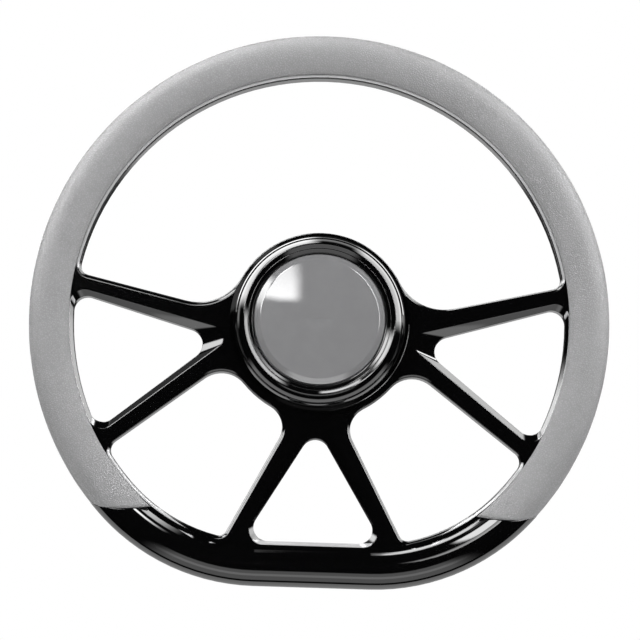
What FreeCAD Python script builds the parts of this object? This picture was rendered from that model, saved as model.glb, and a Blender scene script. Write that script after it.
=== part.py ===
import FreeCAD, Part
import math
import os
from types import SimpleNamespace

import Sketcher
from FreeCAD import Vector

# A boat's steering wheel, D shaped, with six spokes and a press button in its hub.
#
# Each piece is drawn as it lies on the bench: face up, the wheel's axis along Z, twelve o'clock
# towards +Y. Height 0 is the helm side of the hub adapter. The last step stands every piece up,
# so that the driver's side faces -Y, twelve o'clock is +Z and the origin is on the shaft's axis.

doc = FreeCAD.newDocument("steering_wheel")
sheet = doc.addObject("Spreadsheet::Sheet", "Sizes")


class Size:
    """A length or an angle: its number, and the formula on the sheet that it comes from."""

    def __init__(self, number, formula):
        self.number = number
        self.formula = formula

    def __add__(self, other):
        return combine(self, "+", other, lambda a, b: a + b)

    def __radd__(self, other):
        return combine(other, "+", self, lambda a, b: a + b)

    def __sub__(self, other):
        return combine(self, "-", other, lambda a, b: a - b)

    def __rsub__(self, other):
        return combine(other, "-", self, lambda a, b: a - b)

    def __mul__(self, other):
        return combine(self, "*", other, lambda a, b: a * b)

    def __rmul__(self, other):
        return combine(other, "*", self, lambda a, b: a * b)

    def __truediv__(self, other):
        return combine(self, "/", other, lambda a, b: a / b)

    def __neg__(self):
        return combine(0, "-", self, lambda a, b: a - b)


def as_size(value):
    """A plain number is a Size with itself as its formula."""
    if isinstance(value, Size):
        return value
    return Size(float(value), repr(float(value)))


def combine(left, sign, right, rule):
    left = as_size(left)
    right = as_size(right)
    formula = "({} {} {})".format(left.formula, sign, right.formula)
    return Size(rule(left.number, right.number), formula)


def root(size):
    return Size(math.sqrt(size.number), "sqrt({})".format(size.formula))


def sine(angle):
    return Size(math.sin(math.radians(angle.number)), "sin({} * 1 deg)".format(angle.formula))


def cosine(angle):
    return Size(math.cos(math.radians(angle.number)), "cos({} * 1 deg)".format(angle.formula))


def arc_radius(reach, rise):
    """The radius of an arc that is level at its top and falls by rise within reach."""
    return reach * reach / (rise * 2) + rise / 2


driving = {
    # Rim, in millimetres and degrees
    "rim_radius": 177.8,  # outside of the rim, 14 in across
    "flat_depth": 15.6,  # how far the flat bottom lies inside the full circle
    "corner_start": 42.35,  # where the two lower corners begin, below level
    "lip_width": 2.3,  # lip between the leather's edge and a window
    "bar_radius": 12.1,  # bare round bar at the bottom of the rim
    "core_overlap": 6.0,  # how far the core runs on into the bar, round the rim
    "wrap_end_angle": 45.1,  # lowest point of the leather's end, below level
    "wrap_end_inset": 10.6,  # that point from the outside of the rim
    "wrap_end_radius": 43.0,  # curve of that end
    "wrap_gap": 0.4,  # groove between the end of the leather and the bare bar
    "wrap_radius": 12.6,  # outer half of the leather grip's section
    "wrap_width": 25.1,  # grip from its outside to its edge on the lip
    "wrap_stand": 2.4,  # height of that edge above the lip
    "wrap_wall": 2.6,  # leather and padding over the core
    "wrap_edge_round": 0.9,  # turned edge of the leather

    # Plate: hub, spokes and lip
    "adapter_height": 40.0,  # helm face to the back of the plate
    "plate_thickness": 14.0,  # spokes, lip and hub plate
    "edge_round": 2.2,  # round on the front edges of the large windows
    "back_edge_round": 1.0,  # round on the back edges of the windows
    "hub_margin": 2.4,  # hub plate outside the horn ring, at the top
    "hub_low_margin": 6.8,  # hub plate outside the horn ring, between the lower spokes

    # Spokes on the right half. A spoke's first edge is a line at a slope, a square distance from
    # the centre; its other edge is a width away, abreast of the centre, and closes in to the rim.
    "high_slope": 12.91,  # upper spoke, upper edge, rising
    "high_offset": 7.93,  # that edge below the centre
    "high_width": 19.84,  # upper spoke
    "high_taper": 3.15,  # its lower edge closes in
    "low_slope": 38.70,  # lower spoke, upper edge, falling
    "low_offset": 28.45,  # that edge above the centre
    "low_width": 15.43,  # lower spoke
    "low_taper": 1.48,  # its lower edge opens out
    "leg_slope": 62.16,  # bottom spoke, outer edge, falling
    "leg_offset": 13.86,  # that edge below the centre
    "leg_width": 18.86,  # bottom spoke
    "leg_taper": 3.25,  # its inner edge closes in

    # Window corners
    "shoulder_corner": 30.35,  # hub to upper spoke
    "top_rim_corner": 6.6,  # upper spoke to rim, in the top window
    "side_hub_corner": 9.6,  # side window, at the hub
    "side_rim_corner": 8.5,  # side window, at the rim
    "low_spoke_corner": 17.5,  # lower window, lower spoke to hub
    "low_leg_corner": 15.0,  # lower window, bottom spoke to hub
    "low_rim_corner": 6.8,  # lower window, lower spoke to rim
    "low_foot_corner": 5.0,  # lower window, bottom spoke to rim
    "foot_hub_corner": 8.8,  # bottom window, at the hub
    "foot_rim_corner": 8.8,  # bottom window, at the rim

    # Bevels round the three V windows
    "bevel_depth": 2.8,  # depth of the bevels
    "bevel_rim_width": 2.2,  # bevel beside the rim
    "high_bevel_width": 7.06,  # upper spoke's bevel, abreast of the centre
    "high_bevel_taper": 1.685,  # upper spoke's bevel, narrowing to the rim
    "low_bevel_width": 4.2,  # lower spoke's bevel, abreast of the centre
    "low_bevel_taper": 0.5,  # lower spoke's bevel, narrowing to the rim
    "leg_bevel_width": 11.5,  # bottom spoke's bevel, abreast of the centre
    "leg_bevel_taper": 4.6,  # bottom spoke's bevel, narrowing to the rim
    "bevel_corner": 7.0,  # hub corner of a bevel, on the face

    # Button, and outwards from it the rings of the bezel
    "button_radius": 39.6,  # outside of the button
    "button_bevel_width": 3.4,  # bevel round the button's face
    "button_bevel_drop": 1.5,  # fall of that bevel
    "button_dome": 0.5,  # crown of the button's face
    "button_edge_round": 1.6,  # round between the face and its bevel
    "button_wall": 2.8,  # wall of the button
    "button_sink": 1.0,  # button's face below the crest of the horn ring
    "button_travel": 2.5,  # travel of the button
    "slide_clearance": 0.3,  # least gap at each end of the moving button's travel
    "stop_gap": 1.3,  # flange above the web when the button is pressed home
    "flange_width": 2.6,  # flange that the retainer ring holds down
    "flange_thickness": 2.2,  # thickness of that flange
    "well_clearance": 0.4,  # round the flange, in the horn ring's bore
    "mouth_gap": 0.8,  # round the button, in the retainer ring
    "seat_ledge": 1.0,  # ledge in the bore that the retainer ring is screwed down on
    "retainer_height": 3.7,  # retainer ring, foot to outer edge
    "retainer_bevel_width": 2.4,  # retainer ring's inward bevel
    "retainer_bevel_drop": 2.2,  # fall of that bevel
    "retainer_edge": 0.3,  # retainer ring's broken outer edge
    "ring_mouth_land": 0.3,  # horn ring's flat beside the retainer ring
    "ring_inner_width": 2.1,  # horn ring's inner flank, across
    "ring_inner_drop": 2.2,  # height of that flank
    "ring_crest_round": 0.9,  # round on the horn ring's crest
    "ring_outer_width": 6.4,  # horn ring's outer flank, across
    "ring_outer_curve": 19.6,  # curve of that flank
    "ring_recess": 2.2,  # depth that the horn ring is let into the plate
    "ring_fit": 0.2,  # clearance round the horn ring's foot
    "web_thickness": 5.0,  # web across the horn ring's foot

    # Screws, adapter and shaft
    "screw_count": 5,  # number of hub screws
    "screw_inset": 3.075,  # screw heads inside the horn ring's bore: 2 3/4 in across centres
    "screw_radius": 2.4,  # shank of a hub screw
    "screw_clearance": 0.3,  # clearance round the shanks
    "screw_head_radius": 4.6,  # countersunk head
    "screw_socket_radius": 1.7,  # hexagon socket, to its corners
    "screw_socket_depth": 2.0,  # depth of the socket
    "screw_grip": 7.0,  # thread in the adapter's flange
    "plate_bore_radius": 22.0,  # bore of the hub plate
    "spigot_height": 2.0,  # adapter's spigot in the plate's bore
    "spigot_fit": 0.1,  # clearance round the spigot
    "adapter_rim": 7.575,  # adapter's flange outside the circle of screws
    "adapter_flange": 8.0,  # thickness of that flange
    "boss_radius": 24.0,  # adapter's boss
    "boss_fillet": 4.0,  # fillet from boss to flange
    "boss_edge": 1.2,  # chamfers of the adapter
    "taper_radius": 9.525,  # large end of the taper, for a 3/4 in shaft
    "taper_rate": 24.0,  # length in which the taper's radius falls by one
    "nut_well_radius": 18.0,  # well for the shaft nut
    "nut_well_depth": 12.0,  # depth of that well
    "key_width": 4.76,  # keyway, 3/16 in
    "key_depth": 2.0,  # keyway below the large end of the taper

    # Contact parts under the button
    "contact_radius": 26.0,  # contact plate under the button
    "contact_thickness": 1.0,  # thickness of that plate
    "bolt_circle": 40.0,  # pitch circle of the small screws in the button
    "bolt_radius": 1.2,  # shank of a small screw
    "bolt_head_radius": 2.2,  # head of a small screw
    "bolt_head_height": 1.3,  # height of that head
    "bolt_length": 3.0,  # shank of a small screw, below its head
    "pillar_radius": 3.2,  # pillar under the button that takes a small screw
    "spring_circle": 38.0,  # circle of the three springs
    "spring_radius": 3.1,  # middle of the spring's wire
    "wire_radius": 0.4,  # spring wire
    "spring_turns": 3.0,  # turns of a spring
    "spring_seat_depth": 1.5,  # seat of a spring in the web
    "stud_radius": 2.5,  # contact stud
    "stud_head_radius": 5.0,  # head of the stud
    "stud_head_height": 1.2,  # height of the stud's head
    "sleeve_radius": 4.2,  # insulating bush in the web
    "sleeve_flange_radius": 8.5,  # flange of that bush
    "sleeve_flange_height": 1.4,  # thickness of that flange
    "washer_radius": 8.5,  # insulating washer under the web
    "washer_thickness": 1.2,  # thickness of that washer
    "tab_thickness": 0.8,  # terminal blade
    "tab_ring_radius": 5.0,  # end of the blade that lies round the stud
    "tab_width": 6.3,  # width of the blade, 1/4 in
    "tab_reach": 15.5,  # stud to the bend of the blade
    "tab_drop": 8.0,  # length of the blade past its bend
    "lock_washer_radius": 4.4,  # lock washer
    "lock_washer_thickness": 1.0,  # thickness of that washer
    "lock_washer_split": 0.7,  # gap where that washer is split
    "nut_radius": 4.6,  # nut on the stud, to its corners
    "nut_height": 3.2,  # height of that nut
    "stud_tail": 1.0,  # stud past its nut
}

# Each driving size goes on the sheet under its own name, which is also its name here

sizes = SimpleNamespace()
for row, (name, number) in enumerate(driving.items(), start=1):
    sheet.set("A{}".format(row), name)
    sheet.set("B{}".format(row), str(number))
    sheet.setAlias("B{}".format(row), name)
    setattr(sizes, name, Size(float(number), "Sizes.{}".format(name)))

# Radii that follow from the button outwards, each from the one inside it
nothing = as_size(0)
button_face_radius = sizes.button_radius - sizes.button_bevel_width
mouth_radius = sizes.button_radius + sizes.mouth_gap
flange_radius = sizes.button_radius + sizes.flange_width
well_radius = flange_radius + sizes.well_clearance
seat_radius = well_radius + sizes.seat_ledge
ring_mouth_radius = seat_radius + sizes.ring_mouth_land
ring_crest_radius = ring_mouth_radius + sizes.ring_inner_width
ring_radius = ring_crest_radius + sizes.ring_outer_width
hub_radius = ring_radius + sizes.hub_margin
hub_low_radius = ring_radius + sizes.hub_low_margin
screw_circle = well_radius - sizes.screw_inset - sizes.screw_head_radius
adapter_radius = screw_circle + sizes.adapter_rim
screw_hole_radius = sizes.screw_radius + sizes.screw_clearance

# The rim's D. Its corner touches the flat and leaves the full circle at the corner's start.
rim_width = sizes.wrap_width + sizes.lip_width
core_radius = sizes.wrap_radius - sizes.wrap_wall
flat_reach = sizes.rim_radius - sizes.flat_depth
corner_sine = sine(sizes.corner_start)
corner_radius = (flat_reach - sizes.rim_radius * corner_sine) / (1 - corner_sine)

# Heights above the helm face: the plate, then up from the web and down from it
plate_back = sizes.adapter_height
plate_front = plate_back + sizes.plate_thickness
rim_height = plate_back + sizes.plate_thickness / 2
recess_floor = plate_front - sizes.ring_recess
web_top = recess_floor + sizes.web_thickness
flange_foot = web_top + sizes.stop_gap + sizes.button_travel
flange_top = flange_foot + sizes.flange_thickness
retainer_foot = flange_top + sizes.slide_clearance
mouth_height = retainer_foot + sizes.retainer_height
ring_crest = mouth_height + sizes.ring_inner_drop
button_face = ring_crest - sizes.button_sink
sleeve_top = web_top + sizes.sleeve_flange_height
stud_top = sleeve_top + sizes.stud_head_height
contact_foot = stud_top + sizes.button_travel + sizes.slide_clearance
contact_top = contact_foot + sizes.contact_thickness
spring_foot = web_top - sizes.spring_seat_depth
washer_foot = recess_floor - sizes.washer_thickness
tab_foot = washer_foot - sizes.tab_thickness
lock_washer_foot = tab_foot - sizes.lock_washer_thickness
nut_foot = lock_washer_foot - sizes.nut_height
screw_foot = plate_back - sizes.screw_grip
screw_head_height = sizes.screw_head_radius - sizes.screw_radius

# Not sizes of the wheel: how many springs and small screws there are, how far a cutter stands
# off the face it cuts, and how near two numbers count as the same
spring_count = as_size(3)
overrun = as_size(1)
near = 0.01

doc.recompute()


# Bodies and sketches

def new_body(name):
    body = doc.addObject("PartDesign::Body", name)
    body.Label = name
    return body


def origin_plane(body, role):
    for feature in body.Origin.OriginFeatures:
        if feature.Role == role:
            return feature
    raise ValueError(role)


def new_sketch(body, name, role="XY_Plane", lift=None):
    """A sketch on one of the body's own planes, lifted off it where a height is given."""
    sketch = body.newObject("Sketcher::SketchObject", name)
    sketch.AttachmentSupport = [(origin_plane(body, role), "")]
    sketch.MapMode = "FlatFace"
    if lift is not None:
        sketch.AttachmentOffset = FreeCAD.Placement(Vector(0, 0, lift.number), FreeCAD.Rotation())
        sketch.setExpression("AttachmentOffset.Base.z", lift.formula)
    return sketch


def bind(sketch, kind, *places, size):
    """Add a dimension and tie it to the sheet."""
    number = size.number
    if kind == "Angle":
        number = math.radians(number)
    index = sketch.addConstraint(Sketcher.Constraint(kind, *places, number))
    sketch.setExpression("Constraints[{}]".format(index), size.formula)


def point_at(x, y):
    return Vector(as_size(x).number, as_size(y).number, 0)


def pin_point(sketch, edge, end, x, y):
    bind(sketch, "DistanceX", -1, 1, edge, end, size=as_size(x))
    bind(sketch, "DistanceY", -1, 1, edge, end, size=as_size(y))


def draw_circle(sketch, radius, x=nothing, y=nothing):
    circle = Part.Circle(point_at(x, y), Vector(0, 0, 1), radius.number)
    edge = sketch.addGeometry(circle, False)
    pin_point(sketch, edge, 3, x, y)
    bind(sketch, "Radius", edge, size=radius)
    return edge


def arc_between(start, end, radius, turn):
    """The shorter arc from start to end; turn is +1 where it runs counter-clockwise."""
    chord = end - start
    middle = (start + end) * 0.5
    rise = math.sqrt(max(radius ** 2 - (chord.Length / 2) ** 2, 0))
    aside = Vector(-chord.y, chord.x, 0)
    aside.normalize()
    centre = middle + aside * (rise * turn)
    low, high = (start, end) if turn > 0 else (end, start)
    first = math.atan2(low.y - centre.y, low.x - centre.x)
    last = math.atan2(high.y - centre.y, high.x - centre.x)
    if last < first:
        last += 2 * math.pi
    circle = Part.Circle(centre, Vector(0, 0, 1), radius)
    return Part.ArcOfCircle(circle, first, last)


def draw_profile(sketch, corners, bows=()):
    """A closed profile through corners. bows maps a corner's index to the arc that leaves it,
    as (radius, turn); every other side is straight."""
    bows = dict(bows)
    sides = []
    for index, corner in enumerate(corners):
        start = point_at(*corner)
        end = point_at(*corners[(index + 1) % len(corners)])
        if index in bows:
            radius, turn = bows[index]
            shape = arc_between(start, end, radius.number, turn)
            ends = (1, 2) if turn > 0 else (2, 1)
        else:
            shape = Part.LineSegment(start, end)
            ends = (1, 2)
        sides.append((sketch.addGeometry(shape, False), ends))
    for index, (edge, ends) in enumerate(sides):
        before, before_ends = sides[index - 1]
        sketch.addConstraint(Sketcher.Constraint("Coincident", before, before_ends[1], edge, ends[0]))
        pin_point(sketch, edge, ends[0], *corners[index])
        if index in bows:
            bind(sketch, "Radius", edge, size=bows[index][0])
    return [edge for edge, ends in sides]


# Rounded outlines: straight and round sides, met by corner arcs. The outline runs
# counter-clockwise, so that its inside lies to the left of each side.

class Straight:
    """A straight side: its direction of travel, and its signed square distance from the centre,
    counted towards the inside."""

    def __init__(self, direction, offset):
        self.direction = direction
        self.offset = offset

    def along(self):
        angle = math.radians(self.direction.number)
        return Vector(math.cos(angle), math.sin(angle), 0)

    def inward(self):
        angle = math.radians(self.direction.number)
        return Vector(-math.sin(angle), math.cos(angle), 0)

    def foot(self, point):
        return point - self.inward() * (point.dot(self.inward()) - self.offset.number)


class Round:
    """A round side. bulge is +1 where the outline's inside is inside the circle."""

    def __init__(self, radius, bulge, x=nothing, y=nothing, fixed="xy"):
        self.radius = radius
        self.bulge = bulge
        self.x = x
        self.y = y
        self.fixed = fixed

    def centre(self):
        return point_at(self.x, self.y)

    def foot(self, point):
        ray = point - self.centre()
        ray.normalize()
        return self.centre() + ray * self.radius.number


def corner_centre(first, second, radius):
    """The centre of the corner arc from one side to the next."""
    if isinstance(first, Straight) and isinstance(second, Straight):
        n1, n2 = first.inward(), second.inward()
        d1, d2 = first.offset.number + radius, second.offset.number + radius
        spread = n1.x * n2.y - n1.y * n2.x
        return Vector((d1 * n2.y - d2 * n1.y) / spread, (n1.x * d2 - n2.x * d1) / spread, 0)
    line, circle = (first, second) if isinstance(first, Straight) else (second, first)
    reach = circle.radius.number - circle.bulge * radius
    middle = circle.centre()
    base = line.inward() * (line.offset.number + radius)
    base = base + line.along() * (middle - base).dot(line.along())
    half = math.sqrt(reach ** 2 - (base - middle).Length ** 2)
    ahead = circle.bulge if line is first else -circle.bulge
    return base + line.along() * (half * ahead)


def draw_outline(sketch, sides, corners):
    """Draw the sides in turn. corners[i] is the radius between side i and the next, or None
    where the two run into each other without a corner."""
    count = len(sides)
    entries = [None] * count
    exits = [None] * count
    rounds = [None] * count
    for index, side in enumerate(sides):
        following = (index + 1) % count
        if corners[index] is None:
            circles = (side, sides[following])
            joint = tangent_point(*circles)
            exits[index] = joint
            entries[following] = joint
            continue
        centre = corner_centre(side, sides[following], corners[index].number)
        exits[index] = side.foot(centre)
        entries[following] = sides[following].foot(centre)
        rounds[index] = centre
    drawn = []
    for index, side in enumerate(sides):
        drawn.append(draw_side(sketch, side, entries[index], exits[index]))
        if rounds[index] is not None:
            following = (index + 1) % count
            edge = draw_arc(sketch, rounds[index], exits[index], entries[following], 1)
            bind(sketch, "Radius", edge[0], size=corners[index])
            drawn.append(edge)
    for index, (edge, ends) in enumerate(drawn):
        before, before_ends = drawn[index - 1]
        sketch.addConstraint(Sketcher.Constraint("Tangent", before, before_ends[1], edge, ends[0]))


def tangent_point(first, second):
    """Where two sides touch: two circles inside one another, or a circle and a line."""
    if isinstance(first, Straight):
        return first.foot(second.centre())
    if isinstance(second, Straight):
        return second.foot(first.centre())
    outer, inner = (first, second) if first.radius.number > second.radius.number else (second, first)
    return outer.foot(inner.centre())


def draw_arc(sketch, centre, start, end, turn):
    low, high = (start, end) if turn > 0 else (end, start)
    first = math.atan2(low.y - centre.y, low.x - centre.x)
    last = math.atan2(high.y - centre.y, high.x - centre.x)
    if last < first:
        last += 2 * math.pi
    circle = Part.Circle(centre, Vector(0, 0, 1), (start - centre).Length)
    edge = sketch.addGeometry(Part.ArcOfCircle(circle, first, last), False)
    return edge, (1, 2) if turn > 0 else (2, 1)


def draw_side(sketch, side, start, end):
    if isinstance(side, Round):
        edge, ends = draw_arc(sketch, side.centre(), start, end, side.bulge)
        bind(sketch, "Radius", edge, size=side.radius)
        if "x" in side.fixed:
            bind(sketch, "DistanceX", -1, 1, edge, 3, size=side.x)
        if "y" in side.fixed:
            bind(sketch, "DistanceY", -1, 1, edge, 3, size=side.y)
        return edge, ends
    edge = sketch.addGeometry(Part.LineSegment(start, end), False)
    bind(sketch, "Angle", edge, size=side.direction)
    distance = side.offset if side.offset.number > 0 else -side.offset
    bind(sketch, "Distance", -1, 1, edge, size=distance)
    return edge, (1, 2)


# Features

def pad(body, sketch, length, name):
    feature = body.newObject("PartDesign::Pad", name)
    feature.Profile = sketch
    feature.setExpression("Length", length.formula)
    return finish(body, feature)


def pocket_through(body, sketch, name):
    """Cut the whole height, both ways from the sketch."""
    feature = body.newObject("PartDesign::Pocket", name)
    feature.Profile = sketch
    feature.SideType = "Symmetric"
    feature.Type = "ThroughAll"
    return finish(body, feature, cuts=True)


def pocket_down(body, sketch, depth, name):
    """Cut from the sketch towards the back."""
    feature = body.newObject("PartDesign::Pocket", name)
    feature.Profile = sketch
    feature.setExpression("Length", depth.formula)
    return finish(body, feature, cuts=True)


def turn(body, sketch, name, kind="Revolution"):
    """Revolve a profile once round the wheel's axis."""
    feature = body.newObject("PartDesign::{}".format(kind), name)
    feature.Profile = sketch
    feature.ReferenceAxis = (sketch, ["V_Axis"])
    feature.Angle = 360
    return finish(body, feature, cuts=kind == "Groove")


def mirror(body, originals, name):
    feature = body.newObject("PartDesign::Mirrored", name)
    feature.Originals = originals
    feature.MirrorPlane = (origin_plane(body, "YZ_Plane"), [""])
    return finish(body, feature)


def repeat(body, originals, count, name):
    """Copy features round the wheel's axis."""
    feature = body.newObject("PartDesign::PolarPattern", name)
    feature.Originals = originals
    feature.Axis = (origin_plane(body, "Z_Axis"), [""])
    feature.Angle = 360
    feature.setExpression("Occurrences", count.formula)
    return finish(body, feature)


def finish(body, feature, cuts=False):
    """Make the feature the body's last one, and stop if a cut took nothing away."""
    before = feature.BaseFeature.Shape.Volume if cuts else None
    body.Tip = feature
    doc.recompute()
    if cuts and not feature.Shape.Volume < before - near:
        raise ValueError("{} cuts nothing".format(feature.Name))
    return feature


def round_edges(body, radius, chosen, name, kind="Fillet"):
    """Round or bevel the edges for which chosen(edge) is true."""
    base = body.Tip
    names = []
    for index, edge in enumerate(base.Shape.Edges):
        if chosen(edge):
            names.append("Edge{}".format(index + 1))
    feature = body.newObject("PartDesign::{}".format(kind), name)
    feature.Base = (base, names)
    feature.setExpression("Radius" if kind == "Fillet" else "Size", radius.formula)
    return finish(body, feature)


def lies_on(edge, height, outlines):
    """True for an edge at a height that follows one of the outlines."""
    ends = [vertex.Point for vertex in edge.Vertexes]
    middle = edge.valueAt((edge.FirstParameter + edge.LastParameter) / 2)
    for point in ends + [middle]:
        if abs(point.z - height) > near:
            return False
    for outline in outlines:
        flat = outline.copy()
        flat.translate(Vector(0, 0, height - flat.BoundBox.ZMin))
        if flat.distToShape(Part.Vertex(middle))[0] < near:
            return True
    return False


# Outlines in the wheel's plane

def d_outline(inset):
    """The rim's D shape, moved in from its outside."""
    big = sizes.rim_radius - inset
    small = corner_radius - inset
    flat = flat_reach - inset
    aside = (sizes.rim_radius - corner_radius) * cosine(sizes.corner_start)
    drop = corner_radius - flat_reach
    right = Round(small, 1, aside, drop, fixed="")
    left = Round(small, 1, -aside, drop, fixed="")
    return [Straight(nothing, -flat), right, Round(big, 1), left]


def rim_corner():
    """The round lower right corner of the rim's inner edge."""
    sides = d_outline(rim_width)
    sides[1].fixed = "y"
    return sides[1]


rim_inside = Round(sizes.rim_radius - rim_width, 1)
hub_top = Round(hub_radius, -1)
hub_bulge = Round(hub_low_radius, -1)

high_low_slope = sizes.high_slope + sizes.high_taper
low_low_slope = sizes.low_slope - sizes.low_taper
leg_in_slope = sizes.leg_slope - sizes.leg_taper
leg_in_offset = sizes.leg_offset + sizes.leg_width
high_top_edge = Straight(sizes.high_slope, -sizes.high_offset)
high_top_mirrored = Straight(-sizes.high_slope, -sizes.high_offset)
high_low_edge = Straight(high_low_slope + 180, sizes.high_offset + sizes.high_width)
low_top_edge = Straight(-sizes.low_slope, sizes.low_offset)
low_low_edge = Straight(180 - low_low_slope, sizes.low_width - sizes.low_offset)
leg_out_edge = Straight(-sizes.leg_slope, -sizes.leg_offset)
leg_in_edge = Straight(180 - leg_in_slope, leg_in_offset)
leg_in_mirrored = Straight(180 + leg_in_slope, leg_in_offset)


def draw_top_window(sketch):
    draw_outline(
        sketch,
        [high_top_edge, rim_inside, high_top_mirrored, hub_top],
        [sizes.top_rim_corner, sizes.top_rim_corner, sizes.shoulder_corner, sizes.shoulder_corner],
    )


def draw_side_window(sketch):
    draw_outline(
        sketch,
        [low_top_edge, rim_inside, high_low_edge],
        [sizes.side_rim_corner, sizes.side_rim_corner, sizes.side_hub_corner],
    )


def draw_low_window(sketch):
    draw_outline(
        sketch,
        [leg_out_edge, rim_corner(), rim_inside, low_low_edge, hub_bulge],
        [
            sizes.low_foot_corner,
            None,
            sizes.low_rim_corner,
            sizes.low_spoke_corner,
            sizes.low_leg_corner,
        ],
    )


def draw_foot_window(sketch):
    flat = Straight(nothing, -(flat_reach - rim_width))
    draw_outline(
        sketch,
        [flat, leg_in_edge, leg_in_mirrored],
        [sizes.foot_rim_corner, sizes.foot_hub_corner, sizes.foot_rim_corner],
    )


def widened(side, width, taper):
    """A side moved out of its window by a bevel that narrows as it goes to the rim."""
    return Straight(side.direction + taper, side.offset - width)


def draw_side_bevel(sketch, share):
    """The side window's bevel where it has a share of its full width; less than 0 is inside."""
    rim = Round(sizes.rim_radius - rim_width + sizes.bevel_rim_width * share, 1)
    low = widened(low_top_edge, sizes.low_bevel_width * share, sizes.low_bevel_taper * share)
    high = widened(high_low_edge, sizes.high_bevel_width * share, -sizes.high_bevel_taper * share)
    hub_corner = sizes.side_hub_corner + (sizes.bevel_corner - sizes.side_hub_corner) * share
    draw_outline(sketch, [low, rim, high], [sizes.side_rim_corner, sizes.side_rim_corner, hub_corner])


def draw_foot_bevel(sketch, share):
    flat = Straight(nothing, -(flat_reach - rim_width + sizes.bevel_rim_width * share))
    right = widened(leg_in_edge, sizes.leg_bevel_width * share, -sizes.leg_bevel_taper * share)
    left = widened(leg_in_mirrored, sizes.leg_bevel_width * share, sizes.leg_bevel_taper * share)
    rim_corner_size = sizes.foot_rim_corner
    hub_corner = sizes.foot_hub_corner + (sizes.bevel_corner - sizes.foot_hub_corner) * share
    draw_outline(sketch, [flat, right, left], [rim_corner_size, hub_corner, rim_corner_size])


def cut_bevel(body, draw, name):
    """A bevel from its full width on the face to a line a little inside the window."""
    inside = -(overrun / sizes.bevel_depth)
    face = new_sketch(body, name + "_face", lift=plate_front + overrun)
    draw(face, 1 + overrun / sizes.bevel_depth)
    deep = new_sketch(body, name + "_deep", lift=plate_front - sizes.bevel_depth - overrun)
    draw(deep, inside)
    doc.recompute()
    feature = body.newObject("PartDesign::SubtractiveLoft", name)
    feature.Profile = face
    feature.Sections = [deep]
    feature.Ruled = True
    return finish(body, feature, cuts=True)


# Wheel frame: one billet, milled and anodised

def frame_bare_bar(body):
    """The round bar at the bottom of the rim, swept from the middle of the flat."""
    inset = sizes.bar_radius
    flat = flat_reach - inset
    big = sizes.rim_radius - inset
    corner = d_outline(inset)[1]
    path = new_sketch(body, "bar_path", lift=rim_height)
    flat_end = point_at(corner.x, -flat)
    joint = Round(big, 1).foot(corner.centre())
    rise = wrap_end_point()[1] + inset * 2
    top = Vector(math.sqrt(big.number ** 2 - rise.number ** 2), rise.number, 0)
    floor = path.addGeometry(Part.LineSegment(point_at(0, -flat), flat_end), False)
    bend, bend_ends = draw_arc(path, corner.centre(), flat_end, joint, 1)
    side, side_ends = draw_arc(path, Vector(0, 0, 0), joint, top, 1)
    pin_point(path, floor, 1, nothing, -flat)
    path.addConstraint(Sketcher.Constraint("Horizontal", floor))
    path.addConstraint(Sketcher.Constraint("Tangent", floor, 2, bend, bend_ends[0]))
    path.addConstraint(Sketcher.Constraint("Tangent", bend, bend_ends[1], side, side_ends[0]))
    bind(path, "Radius", bend, size=corner_radius - inset)
    bind(path, "Radius", side, size=big)
    path.addConstraint(Sketcher.Constraint("Coincident", side, 3, -1, 1))
    bind(path, "DistanceY", -1, 1, side, side_ends[1], size=rise)
    section = new_sketch(body, "bar_section", role="YZ_Plane")
    draw_circle(section, sizes.bar_radius, -flat, rim_height)
    doc.recompute()
    sweep = body.newObject("PartDesign::AdditivePipe", "bare_bar")
    sweep.Profile = section
    sweep.Spine = (path, ["Edge1", "Edge2", "Edge3"])
    finish(body, sweep)
    mirror(body, [sweep], "bare_bar_both")


def wrap_end_point():
    """The lowest point of the leather's curved end, on the right."""
    reach = sizes.rim_radius - sizes.wrap_end_inset
    return reach * cosine(sizes.wrap_end_angle), -(reach * sine(sizes.wrap_end_angle))


def wrap_end_corners(radius):
    """The ends of an arc that sags through the right end's lowest point: a chord of 1.6 radii
    lies 0.4 of a radius above the bottom of its arc."""
    x, y = wrap_end_point()
    half = radius * 0.8
    level = y + sizes.wrap_end_radius - radius * 0.6
    return (x - half, level), (x + half, level)


def frame_trim_bar(body):
    """Cut the bare bar off along the curve where the leather starts."""
    above = new_sketch(body, "above_wrap_end", lift=rim_height)
    inner, outer = wrap_end_corners(sizes.wrap_end_radius)
    draw_profile(
        above,
        [inner, outer, (outer[0], nothing), (inner[0], nothing)],
        {0: (sizes.wrap_end_radius, 1)},
    )
    doc.recompute()
    right = pocket_through(body, above, "wrap_end_right")
    mirror(body, [right], "wrap_ends")


def frame_core(body):
    """The round core under the leather: it runs on into the bare bar at both ends."""
    section = new_sketch(body, "core_section", role="XZ_Plane")
    draw_circle(section, core_radius, sizes.rim_radius - sizes.bar_radius, rim_height)
    doc.recompute()
    core = body.newObject("PartDesign::Revolution", "core")
    core.Profile = section
    core.ReferenceAxis = (section, ["V_Axis"])
    core.Type = "TwoAngles"
    core_end = sizes.wrap_end_angle + sizes.core_overlap
    core.setExpression("Angle", (core_end + 180).formula)
    core.setExpression("Angle2", core_end.formula)
    finish(body, core)


def frame_plate(body):
    """Hub, spokes and lip: a D of plate out to the middle of the rim's bar."""
    outline = new_sketch(body, "plate_outline", lift=plate_back)
    draw_outline(outline, d_outline(sizes.bar_radius), [None, None, None, None])
    doc.recompute()
    pad(body, outline, sizes.plate_thickness, "plate")


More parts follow.
